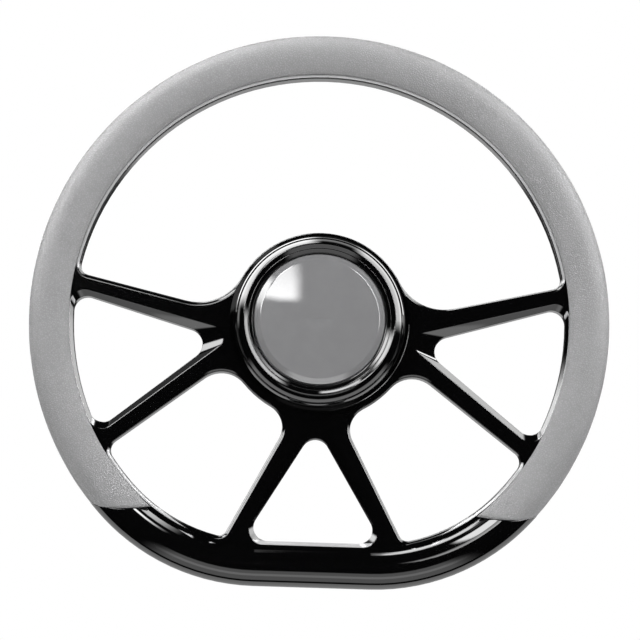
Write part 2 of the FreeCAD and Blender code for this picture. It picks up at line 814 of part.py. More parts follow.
def frame_windows(body):
    """The six windows. The large three get small rounds, the V windows get bevels."""
    top = new_sketch(body, "top_window", lift=rim_height)
    draw_top_window(top)
    foot = new_sketch(body, "foot_window", lift=rim_height)
    draw_foot_window(foot)
    side = new_sketch(body, "side_window", lift=rim_height)
    draw_side_window(side)
    low = new_sketch(body, "low_window", lift=rim_height)
    draw_low_window(low)
    doc.recompute()
    pocket_through(body, top, "top_window_cut")
    pocket_through(body, foot, "foot_window_cut")
    side_cut = pocket_through(body, side, "side_window_cut")
    mirror(body, [side_cut], "side_windows")
    low_cut = pocket_through(body, low, "low_window_cut")
    mirror(body, [low_cut], "low_windows")

    def both(sketch):
        return [sketch.Shape, sketch.Shape.mirror(Vector(0, 0, 0), Vector(1, 0, 0))]

    large = [top.Shape] + both(low)
    small = [foot.Shape] + both(side)

    def on_front(edge):
        return lies_on(edge, plate_front.number, large)

    def on_back(edge):
        return lies_on(edge, plate_back.number, large + small)

    round_edges(body, sizes.edge_round, on_front, "front_rounds")
    round_edges(body, sizes.back_edge_round, on_back, "back_rounds")
    side_bevel = cut_bevel(body, draw_side_bevel, "side_bevel")
    mirror(body, [side_bevel], "side_bevels")
    cut_bevel(body, draw_foot_bevel, "foot_bevel")


def frame_hub(body):
    """The recess for the horn ring, the bore and the screw holes."""
    recess = new_sketch(body, "ring_recess_profile", role="XZ_Plane")
    floor_radius = ring_radius + sizes.ring_fit
    above = plate_front + overrun
    draw_profile(recess, [
        (nothing, recess_floor),
        (floor_radius, recess_floor),
        (floor_radius + sizes.ring_recess + overrun, above),
        (nothing, above),
    ])
    doc.recompute()
    turn(body, recess, "recess", kind="Groove")
    bore = new_sketch(body, "bore_circle", lift=plate_front)
    draw_circle(bore, sizes.plate_bore_radius)
    doc.recompute()
    pocket_through(body, bore, "bore")
    hole = new_sketch(body, "screw_hole_circle", lift=plate_front)
    draw_circle(hole, screw_hole_radius, nothing, screw_circle)
    doc.recompute()
    first = pocket_through(body, hole, "screw_hole")
    repeat(body, [first], sizes.screw_count, "screw_holes")


def make_wheel_frame():
    body = new_body("wheel_frame")
    frame_bare_bar(body)
    frame_trim_bar(body)
    frame_core(body)
    frame_plate(body)
    frame_windows(body)
    frame_hub(body)
    return body


# Leather grip

def make_grip_wrap():
    """A C section turned round the core, its ends cut to a curve above the bare bar."""
    body = new_body("grip_wrap")
    section = new_sketch(body, "grip_section", role="XZ_Plane")
    outside = sizes.rim_radius
    lip = sizes.plate_thickness / 2
    edge = outside - sizes.wrap_width
    crown = outside - sizes.wrap_radius
    brim = lip + sizes.wrap_stand
    meets = outside - sizes.bar_radius - root(core_radius * core_radius - lip * lip)
    high = rim_height
    corners = [
        (edge, high - lip),
        (edge, high - brim),
        (crown, high - sizes.wrap_radius),
        (crown, high + sizes.wrap_radius),
        (edge, high + brim),
        (edge, high + lip),
        (meets, high + lip),
        (meets, high - lip),
    ]
    middle = outside - sizes.bar_radius
    crown_radius = arc_radius(crown - edge, sizes.wrap_radius - brim)
    draw_wrap_profile(section, corners, middle, crown_radius)
    doc.recompute()
    turn(body, section, "grip")
    below = new_sketch(body, "below_wrap_ends", lift=rim_height)
    far = sizes.rim_radius * 2
    radius = sizes.wrap_end_radius - sizes.wrap_gap
    inner, outer = wrap_end_corners(radius)
    draw_profile(
        below,
        [
            (-far, -far),
            (far, -far),
            (far, outer[1]),
            outer,
            inner,
            (-inner[0], inner[1]),
            (-outer[0], outer[1]),
            (-far, outer[1]),
        ],
        {3: (radius, -1), 5: (radius, -1)},
    )
    doc.recompute()
    pocket_through(body, below, "curved_ends")
    brims = [high - brim, high + brim]

    def turned_edge(rim):
        return any(is_ring(rim, edge, brim_height) for brim_height in brims)

    round_edges(body, sizes.wrap_edge_round, turned_edge, "turned_edges")
    return body


def draw_wrap_profile(section, corners, middle, crown_radius):
    """Lip edge, crown, outer half round, crown, lip edge and the inside round the core."""
    points = [point_at(*corner) for corner in corners]
    centre = Vector(middle.number, rim_height.number, 0)
    outer = Vector(points[2].x, rim_height.number, 0)
    shapes = [
        (Part.LineSegment(points[0], points[1]), (1, 2)),
        (arc_between(points[1], points[2], crown_radius.number, 1), (1, 2)),
        (half_round(outer, sizes.wrap_radius.number, -90, 90), (1, 2)),
        (arc_between(points[3], points[4], crown_radius.number, 1), (1, 2)),
        (Part.LineSegment(points[4], points[5]), (1, 2)),
        (Part.LineSegment(points[5], points[6]), (1, 2)),
        (inner_round(centre, points[7], points[6]), (2, 1)),
        (Part.LineSegment(points[7], points[0]), (1, 2)),
    ]
    radii = {1: crown_radius, 3: crown_radius, 6: core_radius}
    drawn = [(section.addGeometry(shape, False), ends) for shape, ends in shapes]
    for index, (edge, ends) in enumerate(drawn):
        before, before_ends = drawn[index - 1]
        section.addConstraint(Sketcher.Constraint("Coincident", before, before_ends[1], edge, ends[0]))
        pin_point(section, edge, ends[0], *corners[index])
        if index in radii:
            bind(section, "Radius", edge, size=radii[index])
    outer_half = drawn[2][0]
    bind(section, "DistanceX", -1, 1, outer_half, 3, size=corners[2][0])


def half_round(centre, radius, first, last):
    circle = Part.Circle(centre, Vector(0, 0, 1), radius)
    return Part.ArcOfCircle(circle, math.radians(first), math.radians(last))


def inner_round(centre, low, high):
    """The outer side of the core, from its lower to its upper end."""
    first = math.atan2(low.y - centre.y, low.x - centre.x)
    last = math.atan2(high.y - centre.y, high.x - centre.x)
    if last < first:
        last += 2 * math.pi
    circle = Part.Circle(centre, Vector(0, 0, 1), (low - centre).Length)
    return Part.ArcOfCircle(circle, first, last)


# Bezel on the hub: horn ring and the ring that holds the button in

def make_horn_ring():
    """Outer wall with a curved flank, a stepped bore, and a web that the hub screws clamp."""
    body = new_body("horn_ring")
    section = new_sketch(body, "horn_ring_section", role="XZ_Plane")
    hole = sizes.sleeve_radius
    corners = [
        (hole, recess_floor),
        (ring_radius, recess_floor),
        (ring_radius, plate_front),
        (ring_crest_radius, ring_crest),
        (ring_mouth_radius, mouth_height),
        (seat_radius, mouth_height),
        (seat_radius, retainer_foot),
        (well_radius, retainer_foot),
        (well_radius, web_top),
        (hole, web_top),
    ]
    draw_profile(section, corners, {2: (sizes.ring_outer_curve, 1)})
    doc.recompute()
    turn(body, section, "ring")

    def on_crest(edge):
        return is_ring(edge, ring_crest_radius, ring_crest)

    round_edges(body, sizes.ring_crest_round, on_crest, "crest")
    cut_countersinks(body)
    seat = new_sketch(body, "spring_seat_circle", lift=web_top)
    seat_size = sizes.spring_radius + sizes.wire_radius + sizes.slide_clearance
    draw_circle(seat, seat_size, nothing, sizes.spring_circle / 2)
    doc.recompute()
    first = pocket_down(body, seat, sizes.spring_seat_depth, "spring_seat")
    repeat(body, [first], spring_count, "spring_seats")
    return body


def is_ring(edge, radius, height):
    """True for the circle of a radius and height round the wheel's axis."""
    if edge.Degenerated or not isinstance(edge.Curve, Part.Circle):
        return False
    centre = edge.Curve.Center
    if math.hypot(centre.x, centre.y) > near:
        return False
    return abs(edge.Curve.Radius - radius.number) < near and abs(centre.z - height.number) < near


def cut_countersinks(body):
    """The hub screws' holes in the web, countersunk to take their heads flush."""
    centre = new_sketch(body, "countersink_circle", lift=web_top)
    draw_circle(centre, screw_hole_radius, nothing, screw_circle)
    doc.recompute()
    hole = body.newObject("PartDesign::Hole", "countersunk_hole")
    hole.Profile = centre
    doc.recompute()
    hole.ThreadType = "None"
    hole.DepthType = "ThroughAll"
    hole.HoleCutType = "Countersink"
    hole.HoleCutCustomValues = True
    hole.setExpression("Diameter", ((screw_hole_radius) * 2).formula)
    hole.setExpression("HoleCutDiameter", (sizes.screw_head_radius * 2).formula)
    hole.HoleCutCountersinkAngle = 90  # so a head is as tall as it is wider than its shank
    finish(body, hole, cuts=True)
    repeat(body, [hole], sizes.screw_count, "countersunk_holes")


def make_retainer_ring():
    """Screwed into the horn ring, with a bevel that slopes in to the button."""
    body = new_body("retainer_ring")
    section = new_sketch(body, "retainer_section", role="XZ_Plane")
    edge = seat_radius - sizes.retainer_edge
    bevel_foot = mouth_height - sizes.retainer_bevel_drop
    draw_profile(section, [
        (mouth_radius, retainer_foot),
        (seat_radius, retainer_foot),
        (seat_radius, mouth_height - sizes.retainer_edge),
        (edge, mouth_height),
        (edge - sizes.retainer_bevel_width, bevel_foot),
        (mouth_radius, bevel_foot),
    ])
    doc.recompute()
    turn(body, section, "retainer")
    return body


# Button

def make_button_cap():
    """A turned cup: crowned face, bevelled edge, and a flange that the retainer ring stops."""
    body = new_body("button_cap")
    section = new_sketch(body, "cap_section", role="XZ_Plane")
    inside = sizes.button_radius - sizes.button_wall
    ceiling = button_face - sizes.button_wall
    crown_radius = arc_radius(button_face_radius, sizes.button_dome)
    corners = [
        (nothing, ceiling),
        (inside, ceiling),
        (inside, flange_foot),
        (flange_radius, flange_foot),
        (flange_radius, flange_top),
        (sizes.button_radius, flange_top),
        (sizes.button_radius, button_face - sizes.button_bevel_drop),
        (button_face_radius, button_face),
        (nothing, button_face + sizes.button_dome),
    ]
    draw_profile(section, corners, {7: (crown_radius, 1)})
    doc.recompute()
    turn(body, section, "cap")

    def round_face(edge):
        return is_ring(edge, button_face_radius, button_face)

    round_edges(body, sizes.button_edge_round, round_face, "face_edge")
    pillar = new_sketch(body, "pillar_circle", lift=contact_top)
    draw_circle(pillar, sizes.pillar_radius, nothing, -(sizes.bolt_circle / 2))
    doc.recompute()
    first = pad(body, pillar, ceiling - contact_top, "pillar")
    repeat(body, [first], spring_count, "pillars")
    thread = new_sketch(body, "thread_circle", lift=contact_foot + sizes.bolt_length)
    draw_circle(thread, sizes.bolt_radius, nothing, -(sizes.bolt_circle / 2))
    doc.recompute()
    hole = pocket_down(body, thread, sizes.bolt_length, "thread_hole")
    repeat(body, [hole], spring_count, "thread_holes")
    return body


def make_contact_plate():
    body = new_body("contact_plate")
    outline = new_sketch(body, "contact_outline", lift=contact_foot)
    draw_circle(outline, sizes.contact_radius)
    doc.recompute()
    pad(body, outline, sizes.contact_thickness, "disc")
    hole = new_sketch(body, "contact_hole_circle", lift=contact_top)
    draw_circle(hole, sizes.bolt_radius, nothing, -(sizes.bolt_circle / 2))
    doc.recompute()
    first = pocket_down(body, hole, sizes.contact_thickness, "contact_hole")
    repeat(body, [first], spring_count, "contact_holes")
    return body


def make_plate_screws():
    """Three cheese-head screws from below, through the contact plate into the pillars."""
    body = new_body("plate_screws")
    body.AllowCompound = True
    section = new_sketch(body, "plate_screw_section", role="XZ_Plane", lift=sizes.bolt_circle / 2)
    head_foot = contact_foot - sizes.bolt_head_height
    draw_profile(section, [
        (nothing, head_foot),
        (sizes.bolt_head_radius, head_foot),
        (sizes.bolt_head_radius, contact_foot),
        (sizes.bolt_radius, contact_foot),
        (sizes.bolt_radius, contact_foot + sizes.bolt_length),
        (nothing, contact_foot + sizes.bolt_length),
    ])
    doc.recompute()
    screw = turn(body, section, "plate_screw")
    repeat(body, [screw], spring_count, "plate_screw_ring")
    return body


def make_spring(name, angle):
    """A coil spring between its seat in the web and the contact plate."""
    body = new_body(name)
    wire = new_sketch(body, name + "_wire", role="XZ_Plane", lift=-(sizes.spring_circle / 2))
    draw_circle(wire, sizes.wire_radius, sizes.spring_radius, spring_foot + sizes.wire_radius)
    doc.recompute()
    coil = body.newObject("PartDesign::AdditiveHelix", name + "_coil")
    coil.Profile = wire
    coil.ReferenceAxis = (wire, ["V_Axis"])
    coil.Mode = "height-turns-angle"
    coil.setExpression("Height", (contact_foot - spring_foot - sizes.wire_radius * 2).formula)
    coil.setExpression("Turns", sizes.spring_turns.formula)
    finish(body, coil)
    turned_by[name] = angle
    return body


# Hub adapter and its screws

def make_hub_adapter():
    """Boss and flange, bored to the shaft's taper, with a well for the shaft nut."""
    body = new_body("hub_adapter")
    section = new_sketch(body, "adapter_section", role="XZ_Plane")
    flange_back = plate_back - sizes.adapter_flange
    well_floor = plate_back - sizes.nut_well_depth
    spigot = sizes.plate_bore_radius - sizes.spigot_fit
    draw_profile(section, [
        (sizes.taper_radius, nothing),
        (sizes.boss_radius - sizes.boss_edge, nothing),
        (sizes.boss_radius, sizes.boss_edge),
        (sizes.boss_radius, flange_back),
        (adapter_radius - sizes.boss_edge, flange_back),
        (adapter_radius, flange_back + sizes.boss_edge),
        (adapter_radius, plate_back),
        (spigot, plate_back),
        (spigot, plate_back + sizes.spigot_height),
        (sizes.nut_well_radius, plate_back + sizes.spigot_height),
        (sizes.nut_well_radius, well_floor),
        (sizes.taper_radius - well_floor / sizes.taper_rate, well_floor),
    ])
    doc.recompute()
    turn(body, section, "boss")

    def at_root(edge):
        return is_ring(edge, sizes.boss_radius, flange_back)

    round_edges(body, sizes.boss_fillet, at_root, "root")
    slot = new_sketch(body, "keyway_outline", lift=well_floor)
    half = sizes.key_width / 2
    deep = sizes.taper_radius + sizes.key_depth
    draw_profile(slot, [(-half, nothing), (half, nothing), (half, deep), (-half, deep)])
    doc.recompute()
    pocket_down(body, slot, well_floor, "keyway")
    hole = new_sketch(body, "tapped_hole_circle", lift=plate_back)
    draw_circle(hole, sizes.screw_radius, nothing, screw_circle)
    doc.recompute()
    first = pocket_down(body, hole, sizes.adapter_flange, "tapped_hole")
    repeat(body, [first], sizes.screw_count, "tapped_holes")
    return body


def make_hub_screws():
    """Countersunk screws with hexagon sockets, flush with the horn ring's web."""
    body = new_body("hub_screws")
    body.AllowCompound = True
    section = new_sketch(body, "hub_screw_section", role="XZ_Plane", lift=-(screw_circle))
    draw_profile(section, [
        (nothing, screw_foot),
        (sizes.screw_radius, screw_foot),
        (sizes.screw_radius, web_top - screw_head_height),
        (sizes.screw_head_radius, web_top),
        (nothing, web_top),
    ])
    doc.recompute()
    screw = turn(body, section, "hub_screw")
    socket = new_sketch(body, "socket_outline", lift=web_top)
    draw_hexagon(socket, sizes.screw_socket_radius, nothing, screw_circle)
    doc.recompute()
    recess = pocket_down(body, socket, sizes.screw_socket_depth, "socket")
    repeat(body, [screw, recess], sizes.screw_count, "hub_screw_ring")
    return body


def draw_hexagon(sketch, radius, x=nothing, y=nothing):
    """A hexagon with two corners on the X axis."""
    tall = radius * cosine(as_size(30))
    draw_profile(sketch, [
        (x + radius, y),
        (x + radius / 2, y + tall),
        (x - radius / 2, y + tall),
        (x - radius, y),
        (x - radius / 2, y - tall),
        (x + radius / 2, y - tall),
    ])


# Contact stud in the middle of the web

def make_turned(name, corners):
    """A piece turned round the wheel's axis from one profile."""
    body = new_body(name)
    section = new_sketch(body, name + "_section", role="XZ_Plane")
    draw_profile(section, corners)
    doc.recompute()
    turn(body, section, name + "_turned")
    return body


def make_contact_stud():
    tail = nut_foot - sizes.stud_tail
    return make_turned("contact_stud", [
        (nothing, tail),
        (sizes.stud_radius, tail),
        (sizes.stud_radius, sleeve_top),
        (sizes.stud_head_radius, sleeve_top),
        (sizes.stud_head_radius, stud_top),
        (nothing, stud_top),
    ])


def make_stud_insulator():
    return make_turned("stud_insulator", [
        (sizes.stud_radius, recess_floor),
        (sizes.sleeve_radius, recess_floor),
        (sizes.sleeve_radius, web_top),
        (sizes.sleeve_flange_radius, web_top),
        (sizes.sleeve_flange_radius, sleeve_top),
        (sizes.stud_radius, sleeve_top),
    ])


def make_washer(name, outside, foot, thickness):
    return make_turned(name, [
        (sizes.stud_radius, foot),
        (outside, foot),
        (outside, foot + thickness),
        (sizes.stud_radius, foot + thickness),
    ])


def make_lock_washer():
    """A spring washer, split on one side."""
    thickness = sizes.lock_washer_thickness
    body = make_washer("lock_washer", sizes.lock_washer_radius, lock_washer_foot, thickness)
    split = new_sketch(body, "split_outline", lift=tab_foot)
    half = sizes.lock_washer_split / 2
    reach = sizes.lock_washer_radius + overrun
    draw_profile(split, [(-half, nothing), (half, nothing), (half, reach), (-half, reach)])
    doc.recompute()
    pocket_down(body, split, thickness, "split")
    return body


def make_terminal_tab():
    """A ring and a blade of one strip, the blade bent back towards the helm."""
    body = new_body("terminal_tab")
    strip = new_sketch(body, "strip_side", role="XZ_Plane")
    top = washer_foot
    bend = sizes.tab_reach - sizes.tab_thickness
    tip = tab_foot - sizes.tab_drop
    draw_profile(strip, [
        (nothing, tab_foot),
        (bend, tab_foot),
        (bend, tip),
        (sizes.tab_reach, tip),
        (sizes.tab_reach, top),
        (nothing, top),
    ])
    doc.recompute()
    blade = body.newObject("PartDesign::Pad", "blade")
    blade.Profile = strip
    blade.Midplane = True
    blade.setExpression("Length", sizes.tab_width.formula)
    finish(body, blade)
    ring = new_sketch(body, "ring_end", lift=tab_foot)
    draw_circle(ring, sizes.tab_ring_radius)
    doc.recompute()
    pad(body, ring, sizes.tab_thickness, "ring_end_pad")
    hole = new_sketch(body, "tab_hole_circle", lift=washer_foot)
    draw_circle(hole, sizes.stud_radius)
    doc.recompute()
    pocket_down(body, hole, sizes.tab_thickness, "tab_hole")
    return body


def make_stud_nut():
    body = new_body("stud_nut")
    outline = new_sketch(body, "nut_outline", lift=nut_foot)
    draw_hexagon(outline, sizes.nut_radius)
    doc.recompute()
    pad(body, outline, sizes.nut_height, "nut")
    hole = new_sketch(body, "nut_hole_circle", lift=lock_washer_foot)
    draw_circle(hole, sizes.stud_radius)
    doc.recompute()
    pocket_down(body, hole, sizes.nut_height, "nut_hole")
    return body


# Assembly: every piece is drawn in its place, and the whole is stood up

turned_by = {}
pieces = [
    make_wheel_frame(),
    make_grip_wrap(),
    make_horn_ring(),
    make_retainer_ring(),
    make_button_cap(),
    make_contact_plate(),
    make_plate_screws(),
    make_spring("button_spring_top", 0),
    make_spring("button_spring_left", 120),
    make_spring("button_spring_right", 240),
    make_hub_adapter(),
    make_hub_screws(),
    make_contact_stud(),
    make_stud_insulator(),
    make_washer("insulating_washer", sizes.washer_radius, washer_foot, sizes.washer_thickness),
    make_terminal_tab(),
    make_lock_washer(),
    make_stud_nut(),
]
for piece in pieces:
    upright = FreeCAD.Rotation(Vector(1, 0, 0), 90)
    round_axis = FreeCAD.Rotation(Vector(0, 0, 1), turned_by.get(piece.Label, 0))
    piece.Placement = FreeCAD.Placement(Vector(0, 0, 0), upright.multiply(round_axis))
doc.recompute()


# Test every object, then write one file for each piece

for thing in doc.Objects:
    if "Invalid" in thing.State or "Error" in thing.State:
        raise ValueError("{} failed".format(thing.Name))
for piece in pieces:
    if piece.Shape.isNull() or not piece.Shape.isValid():
        raise ValueError("{} has no valid shape".format(piece.Label))
os.makedirs("parts", exist_ok=True)
for piece in pieces:
    piece.Shape.exportStep("parts/{}.step".format(piece.Label))
    print(piece.Label, len(piece.Shape.Solids), round(piece.Shape.Volume))
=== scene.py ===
# %% [markdown]
# # A boat's steering wheel
#
# The solids of this wheel come from a CAD model: a milled aluminium frame, a turned bezel with a
# press button in the hub, and a leather grip round the rim. This lesson gives them their looks.
# Metal pieces already have the right shape, so they keep their CAD meshes and get finishes.
# The grip is soft, so it is modelled again here, with bmesh.

# %% Load the frame
import math
from dataclasses import dataclass

import bmesh
import bpy
from mathutils import Matrix, Vector, noise


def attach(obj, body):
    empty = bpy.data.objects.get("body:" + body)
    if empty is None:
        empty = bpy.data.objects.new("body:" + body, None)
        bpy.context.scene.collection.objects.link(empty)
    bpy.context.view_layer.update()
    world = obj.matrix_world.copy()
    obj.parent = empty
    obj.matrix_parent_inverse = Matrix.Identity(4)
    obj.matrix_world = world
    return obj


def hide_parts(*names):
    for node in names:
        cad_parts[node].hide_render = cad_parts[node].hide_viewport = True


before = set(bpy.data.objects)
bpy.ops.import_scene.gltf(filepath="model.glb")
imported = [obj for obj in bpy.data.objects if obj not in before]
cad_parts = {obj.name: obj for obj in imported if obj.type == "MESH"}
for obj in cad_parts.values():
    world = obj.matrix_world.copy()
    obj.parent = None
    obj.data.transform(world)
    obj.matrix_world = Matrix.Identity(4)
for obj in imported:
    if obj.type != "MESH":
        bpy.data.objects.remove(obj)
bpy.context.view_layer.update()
scene = bpy.context.scene
millimetre = 0.001
print("nodes:", ", ".join(sorted(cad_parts)))

# %% [markdown]
# ## Where the camera stands
#
# The photograph was taken from a little below the shaft's axis, with a long lens. The wheel hangs
# a little turned, clockwise. A CAD node never moves, so the camera is rolled the other way instead.
# It aims at the middle of the rim, and its lens is shifted by a hair to place the wheel in the
# picture.

# %% Camera
camera_height = math.radians(-6.3)
camera_side = math.radians(-0.3)
camera_roll = math.radians(1.78)
camera_distance = 2.5
picture_width = 640 * 0.6122 * millimetre
aim = Vector((0, -47 * millimetre, 0))
aside = Vector((0.43 * millimetre, 1.7 * millimetre))


def make_camera():
    """A long lens aimed at the rim's middle from below, rolled against the wheel's own turn."""
    back = Vector((
        math.sin(camera_side) * math.cos(camera_height),
        -math.cos(camera_side) * math.cos(camera_height),
        math.sin(camera_height),
    ))
    level = Vector((0, 0, 1)).cross(back).normalized()
    upright = back.cross(level)
    right = level * math.cos(camera_roll) + upright * math.sin(camera_roll)
    up = upright * math.cos(camera_roll) - level * math.sin(camera_roll)
    data = bpy.data.cameras.new("photo_camera")
    data.lens = data.sensor_width * camera_distance / picture_width
    data.shift_x = aside.x / picture_width
    data.shift_y = aside.y / picture_width
    camera = bpy.data.objects.new("photo_camera", data)
    turn = Matrix((right, up, back)).transposed().to_4x4()
    camera.matrix_world = Matrix.Translation(aim + back * camera_distance) @ turn
    scene.collection.objects.link(camera)
    scene.camera = camera
    return camera


camera = make_camera()
print("lens:", round(camera.data.lens), "mm, shifted up by", round(camera.data.shift_y, 4))

# %% [markdown]
# ## Writing shaders as sums
#
# A procedural finish is a small calculation at each point: noise in, colour and roughness out.
# Wiring it node by node hides the calculation, so this class wraps one output of a node, and a
# plain Python sum on it adds the Math nodes. `1 - mask` works as well as `mask * 2`.

# %% A socket that can be added and multiplied
class Wire:
    """One output of a node, in the node tree of a material or of the world."""

    def __init__(self, tree, socket=None):
        self.tree = tree
        self.socket = socket

    def node(self, kind, inputs=None, output=0, **settings):
        """Add a node: settings first, then values or wires for its inputs."""
        made = self.tree.nodes.new(kind)
        for name, value in settings.items():
            setattr(made, name, value)
        for name, value in (inputs or {}).items():
            if isinstance(value, Wire):
                self.tree.links.new(value.socket, made.inputs[name])
            else:
                made.inputs[name].default_value = value
        return Wire(self.tree, made.outputs[output])

    def maths(self, operation, first, second):
        return self.node("ShaderNodeMath", {0: first, 1: second}, operation=operation)

    def __add__(self, other):
        return self.maths("ADD", self, other)

    __radd__ = __add__

    def __mul__(self, other):
        return self.maths("MULTIPLY", self, other)

    __rmul__ = __mul__

    def __sub__(self, other):
        return self.maths("SUBTRACT", self, other)

    def __rsub__(self, other):
        return self.maths("SUBTRACT", other, self)

    def part(self, axis):
        """The X, Y or Z of a vector."""
        return self.node("ShaderNodeSeparateXYZ", {"Vector": self}, output=axis)

    def length_with(self, other):
        """Length of the flat vector that this wire and another one make."""
        return self.maths("POWER", self * self + other * other, 0.5)

    def clamped(self, low, high, to_low=0.0, to_high=1.0):
        """Go smoothly from to_low to to_high while this wire goes from low to high."""
        span = {"From Min": low, "From Max": high, "To Min": to_low, "To Max": to_high}
        return self.node(
            "ShaderNodeMapRange", {"Value": self, **span}, interpolation_type="SMOOTHSTEP")

    def between(self, low, high, soft):
        """1 between low and high, 0 outside, with edges soft wide on either side."""
        return self.clamped(low - soft, low + soft) * (1 - self.clamped(high - soft, high + soft))


def new_finish(name):
    """An empty material, with a wire into its tree and its output node."""
    material = bpy.data.materials.new(name)
    material.use_nodes = True
    tree = material.node_tree
    tree.nodes.clear()
    output = tree.nodes.new("ShaderNodeOutputMaterial")
    return material, Wire(tree), output


def place_on(wire):
    """Object coordinates in millimetres."""
    place = wire.node("ShaderNodeTexCoord", output="Object")
    return place.node("ShaderNodeMapping", {"Vector": place, "Scale": [1 / millimetre] * 3})


def speckle(place, size, detail):
    """Noise from 0 to 1 whose blobs are about size millimetres across."""
    return place.node(
        "ShaderNodeTexNoise", {"Vector": place, "Scale": 1 / size, "Detail": detail})


def tint(wire, amount, dark, light):
    """Mix two colours by an amount from 0 to 1. The first may be a wire."""
    first = dark if isinstance(dark, Wire) else (*dark, 1)
    inputs = {0: amount, 6: first, 7: (*light, 1)}
    return wire.node("ShaderNodeMix", inputs, output=2, data_type="RGBA")


def bumped(wire, height, depth, distance=1.0, normal=None):
    """A bump of a height from 0 to 1 that is depth millimetres tall."""
    inputs = {"Height": height, "Strength": depth, "Distance": distance * millimetre}
    if normal is not None:
        inputs["Normal"] = normal
    return wire.node("ShaderNodeBump", inputs)


def finish_with(wire, output, **inputs):
    """Close a material with the main shader. Names of sockets use _ for a space."""
    named = {name.replace("_", " "): value for name, value in inputs.items()}
    shader = wire.node("ShaderNodeBsdfPrincipled", named)
    wire.tree.links.new(shader.socket, output.inputs["Surface"])


def paint(names, material):
    """Give CAD nodes a finish, by their material slots."""
    for name in names:
        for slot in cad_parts[name].material_slots:
            slot.material = material
    print(material.name, "on", ", ".join(names))


# %% [markdown]
# ## Gloss black
#
# The frame and the bezel are black right up to their highlights, because the surface is very
# smooth and its colour almost black. What shows the shape is what it mirrors, so it is kept sharp,
# and only a faint ripple, much larger than a grain of sand, bends it as on a sprayed piece.
#
# Wet paint flows off the edges and fills the corners. Its surface leans less than the metal
# under it, and its folds are a little round, so each normal is rounded near a fold and pulled
# towards the front before the light meets it.
#
# The rim's lip ends in a narrow round towards each window. A pale line is painted along that round:
# a painted highlight for the bright surroundings it mirrors. It is found from the place on the rim
# and the normal's lean.

# %% The painted highlight along the lip
lip_radii = (149.8, 153.0)
foot_lip_heights = (-137.2, -134.4)
leg_feet = (72, 74)
foot_corners = (62, 63)
grip_ends = (-116, -118)
lip_soft = 0.2
lean_under_grip = 0.66
lean_below_grip = 0.98
lean_soft = 0.03
least_inward = 0.86


def painted_lip_highlight(place, normal):
    """1 on the round between the rim's lip and its windows, where a highlight is painted."""
    across = place.part("X")
    upright = place.part("Z")
    radius = across.length_with(upright)
    aside = normal.part("X")
    above = normal.part("Z")
    lean = aside.length_with(above)
    inward = place.maths("DIVIDE", (aside * across + above * upright) * -1, radius)
    spread = place.maths("ABSOLUTE", across, 0.0)
    beyond_legs = spread.clamped(*leg_feet) + upright.clamped(0, 1)
    round_lip = radius.between(*lip_radii, lip_soft) * beyond_legs
    foot_lip = upright.between(*foot_lip_heights, lip_soft) * (1 - spread.clamped(*foot_corners))
    on_lip = place.maths("MINIMUM", place.maths("MAXIMUM", round_lip, foot_lip), 1.0)
    facing_in = (inward - lean * least_inward).clamped(0.0, 0.01)
    below_grip = upright.clamped(*grip_ends)
    most_lean = below_grip * (lean_below_grip - lean_under_grip) + lean_under_grip
    return on_lip * facing_in * (most_lean - lean).clamped(-lean_soft, lean_soft)


# %% Gloss black finish
fold_radius = 0.7 * millimetre
# Grey of the painted highlight on the lip's round, not a colour of the metal.
lip_highlight_grey = (0.42, 0.42, 0.425)


def gloss_black(name, lean, with_lip_highlight=False):
    """Smooth black whose normals are pulled towards the front by a share, lean."""
    material, wire, output = new_finish(name)
    place = place_on(wire)
    ripple = speckle(place, 4.0, 1.0)
    dust = speckle(place, 0.4, 3.0).clamped(0.66, 0.8)
    normal = wire.node("ShaderNodeBevel", {"Radius": fold_radius}, samples=8)
    pulled = wire.node("ShaderNodeVectorMath", {0: normal, 1: (0, -lean, 0)}, operation="ADD")
    pulled = wire.node("ShaderNodeVectorMath", {0: pulled}, operation="NORMALIZE")
    colour = tint(wire, dust, (0.0012, 0.0012, 0.0013), (0.006, 0.006, 0.0063))
    # Painted highlight: a pale line on the lip's round, where it would mirror the bright
    # surroundings.
    if with_lip_highlight:
        colour = tint(wire, painted_lip_highlight(place, normal), colour, lip_highlight_grey)
    finish_with(
        wire, output,
        Base_Color=colour,
        Roughness=0.03,
        IOR=1.55,
        Normal=bumped(wire, ripple, 0.003, normal=pulled),
    )
    return material


paint(["wheel_frame"], gloss_black("gloss_black", 0.35, with_lip_highlight=True))
paint(["horn_ring"], gloss_black("bezel_black", 0.35))
paint(["retainer_ring"], gloss_black("retainer_black", 0.6))

# %% [markdown]
# ## The button's grey
#
# The button is a turned cap with a grey coat as smooth as the frame's. It is crowned by half a
# millimetre, which is enough to bend a lamp's reflection into a patch with a clear edge.

# %% Button finish
def button_grey():
    material, wire, output = new_finish("button_grey")
    place = place_on(wire)
    mottle = speckle(place, 9.0, 2.0)
    grit = speckle(place, 0.35, 2.0)
    shade = mottle * 0.6 + grit * 0.4
    finish_with(
        wire, output,
        Base_Color=tint(wire, shade, (0.14, 0.14, 0.143), (0.17, 0.17, 0.173)),
        Roughness=mottle.clamped(0.3, 0.7, 0.3, 0.38),
        Specular_IOR_Level=0.1,
        Coat_Weight=1.0,
        Coat_Roughness=0.015,
        Coat_IOR=1.6,
        Normal=bumped(wire, speckle(place, 6.0, 1.0), 0.006),
    )
    return material


paint(["button_cap"], button_grey())

# %% [markdown]
# ## Bare metal and nylon behind the hub
#
# The adapter is turned aluminium: its finish has fine rings round the shaft. Noise of one number
# makes bands, so the rings are noise of the distance from the shaft's axis. Screws and springs are
# stainless, contacts brass, insulators nylon.

